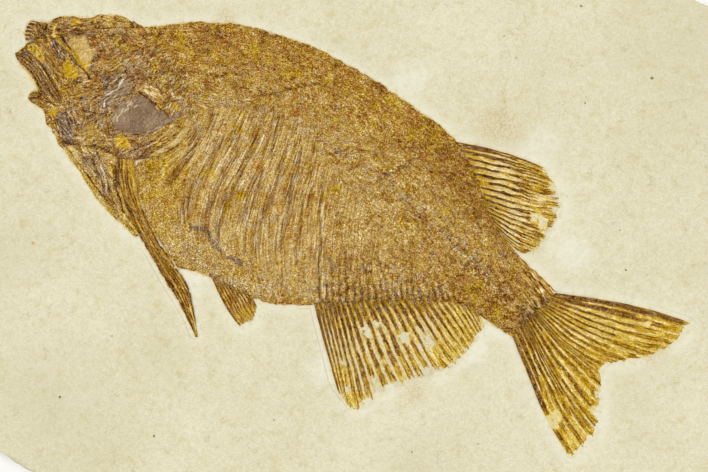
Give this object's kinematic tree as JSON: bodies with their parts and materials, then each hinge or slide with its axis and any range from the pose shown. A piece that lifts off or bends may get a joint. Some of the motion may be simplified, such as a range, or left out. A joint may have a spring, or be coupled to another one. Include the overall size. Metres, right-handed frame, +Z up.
{
  "type": "fossil fish slab",
  "caption": "Deep-bodied fossil fish with spread fins and a forked tail, lying flat in low relief on a thin limestone slab with broken edges.",
  "frame": {"origin": "centre of the slab's flat underside", "axes": "+X along the slab's length, from the snout side to the tail side; +Y across it, towards the fish's back; +Z up, out of the face that carries the fish"},
  "size_m": [0.384, 0.263, 0.0188],
  "materials": {
    "limestone": "matt, fine-grained, pale cream",
    "scaled_bone": "mottled golden brown, granular",
    "head_bone": "brown fossil bone with ochre and grey patches",
    "plate_bone": "smooth grey-brown fossil bone, slightly polished",
    "jaw_bone": "dark brown fossil bone, grooved",
    "ray_bone": "dark brown rays over golden webs"
  },
  "bodies": {
    "root": {"slab": "limestone", "trunk": "scaled_bone", "skull": "head_bone", "shoulder_girdle": "head_bone", "gill_cover": "plate_bone", "upper_jaw": "jaw_bone", "lower_jaw": "jaw_bone", "pectoral_fin": "ray_bone", "pelvic_fin": "ray_bone", "dorsal_fin": "ray_bone", "anal_fin": "ray_bone", "tail_fin": "ray_bone"}
  },
  "joints": []
}
